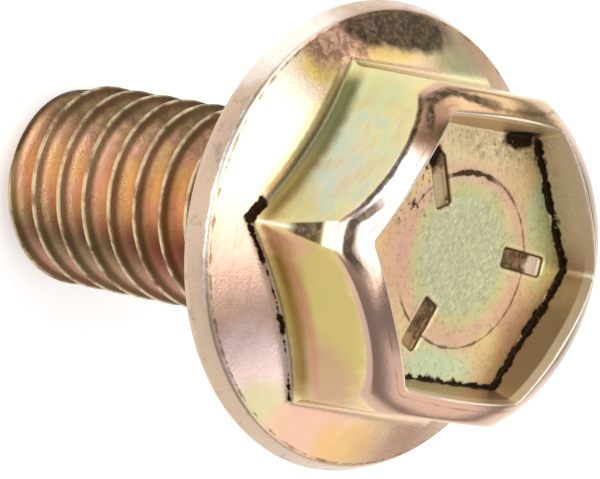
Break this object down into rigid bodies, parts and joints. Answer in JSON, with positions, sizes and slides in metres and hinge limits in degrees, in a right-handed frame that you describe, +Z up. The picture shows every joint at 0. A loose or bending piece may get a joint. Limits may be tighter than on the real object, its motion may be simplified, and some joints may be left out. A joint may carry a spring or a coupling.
{
  "type": "hex flange bolt",
  "caption": "Hex flange bolt with an indented head, radial grade marks and a coarse right-hand thread up to the neck.",
  "frame": {"origin": "centre of the flat point of the thread, where the bolt stands", "axes": "+Z up the bolt's axis from the point to the head; two corners of the hex lie on the Y axis, and two flats face +X and -X"},
  "size_m": [0.0175, 0.0174, 0.0231],
  "materials": {
    "yellow_zinc_steel": "satin yellow-zinc plating with iridescent patches"
  },
  "bodies": {
    "root": {"bolt": "yellow_zinc_steel"}
  },
  "joints": []
}
